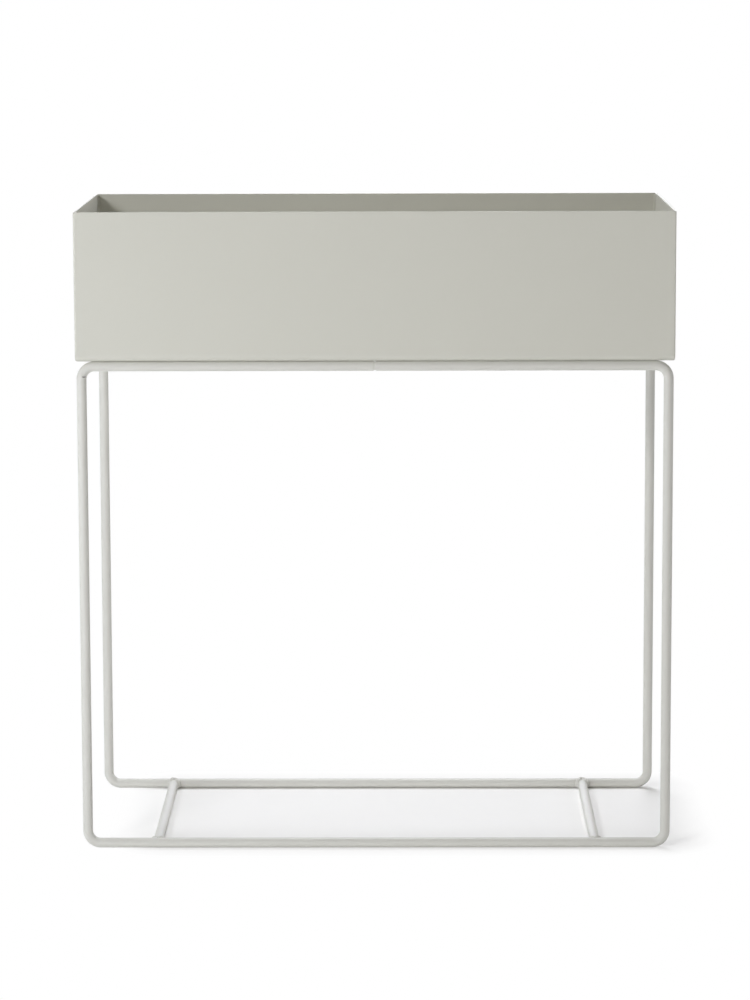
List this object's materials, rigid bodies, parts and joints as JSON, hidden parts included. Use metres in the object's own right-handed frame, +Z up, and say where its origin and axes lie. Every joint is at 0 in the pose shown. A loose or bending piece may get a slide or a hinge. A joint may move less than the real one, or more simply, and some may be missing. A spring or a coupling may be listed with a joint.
{
  "type": "raised planter on legs",
  "caption": "Long open-topped sheet-steel planter box carried above the floor on a stand of bent round bar with lower cross bars; holds potted plants or soil.",
  "frame": {"origin": "on the floor, under the middle of the box", "axes": "+Z up, +X along the box to the right as seen from the front, front at -Y"},
  "size_m": [0.6, 0.25, 0.65],
  "materials": {
    "box_coat": "satin powder coat, light warm grey",
    "stand_coat": "satin powder coat, light warm grey",
    "weld_coat": "satin powder coat over weld beads",
    "zinc_plate": "bright zinc plate"
  },
  "bodies": {
    "root": {"box_wrap": "box_coat", "end_plate_left": "box_coat", "end_plate_right": "box_coat", "corner_weld_front_left": "box_coat", "corner_weld_rear_left": "box_coat", "corner_weld_front_right": "box_coat", "corner_weld_rear_right": "box_coat", "front_hoop": "stand_coat", "front_hoop_butt_weld": "weld_coat", "rear_hoop": "stand_coat", "rear_hoop_butt_weld": "weld_coat", "lower_cross_bar_left": "stand_coat", "lower_cross_bar_right": "stand_coat", "lower_bar_weld_front_left": "weld_coat", "lower_bar_weld_rear_left": "weld_coat", "lower_bar_weld_front_right": "weld_coat", "lower_bar_weld_rear_right": "weld_coat", "upper_cross_strap_left": "stand_coat", "upper_cross_strap_right": "stand_coat", "upper_strap_weld_front_left": "weld_coat", "upper_strap_weld_rear_left": "weld_coat", "upper_strap_weld_front_right": "weld_coat", "upper_strap_weld_rear_right": "weld_coat", "floor_studs": "zinc_plate", "stud_nuts": "zinc_plate"}
  },
  "joints": []
}
